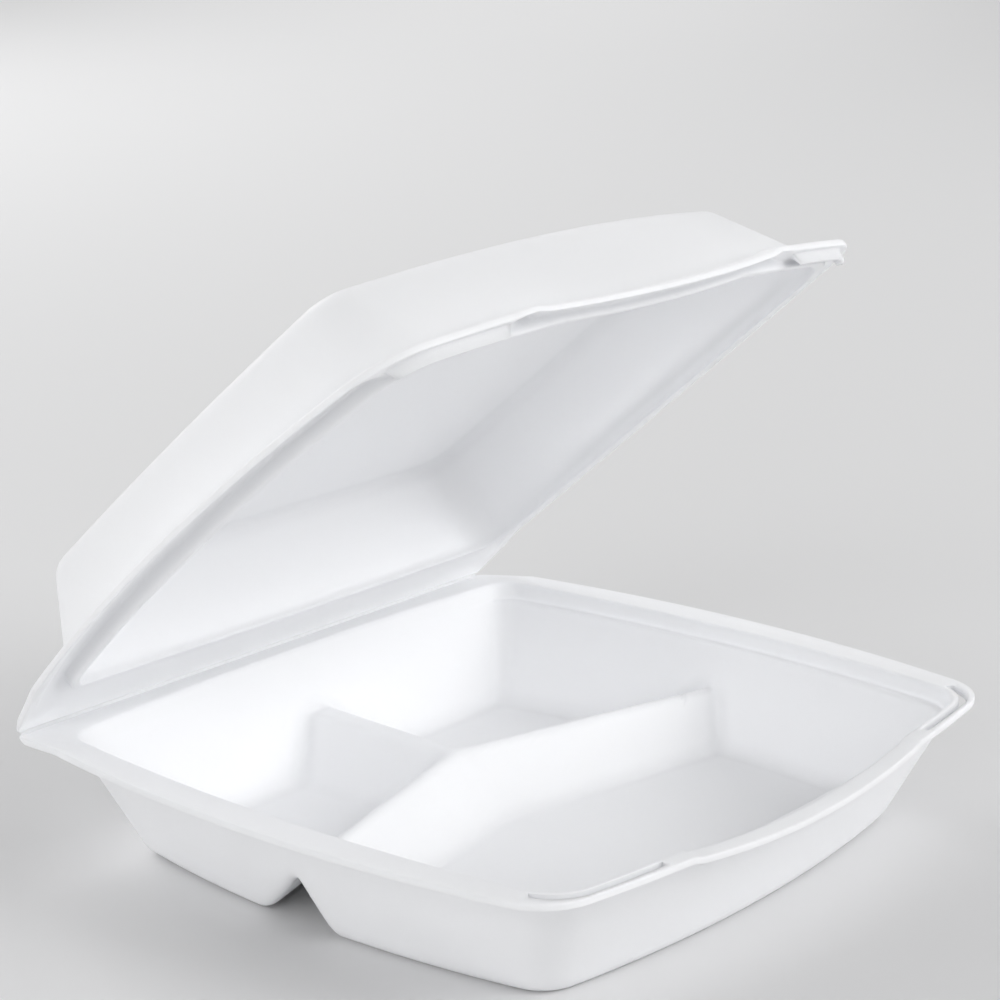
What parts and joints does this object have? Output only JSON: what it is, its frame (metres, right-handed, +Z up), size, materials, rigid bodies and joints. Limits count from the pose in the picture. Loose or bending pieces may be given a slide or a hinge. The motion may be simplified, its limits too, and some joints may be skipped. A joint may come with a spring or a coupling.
{
  "type": "hinged foam food container with compartments",
  "caption": "Shallow foam tray with bowed rims and a Y-shaped ridge that parts its floor into compartments, with a domed foam lid that folds over it on a hinge.",
  "frame": {"origin": "on the resting plane under the tray, halfway between the fold and the middle of the front rim, on the left-right middle", "axes": "+X to the right seen from the front, +Y from the front rim to the fold, +Z up from the resting plane"},
  "size_m": [0.238, 0.2186, 0.185],
  "materials": {
    "tray_foam": "white foam sheet with a smooth, faintly satin skin",
    "lid_foam": "white foam sheet with a smooth, faintly satin skin"
  },
  "bodies": {
    "tray": {"base_tray": "tray_foam"},
    "cover": {"lid": "lid_foam"}
  },
  "joints": [
    {"name": "lid_hinge", "type": "hinge", "parent": "tray", "child": "cover", "pos_m": [0, 0.1058, 0.0359], "axis": [-1, 0, 0], "range_deg": [-41.4, 134]}
  ]
}
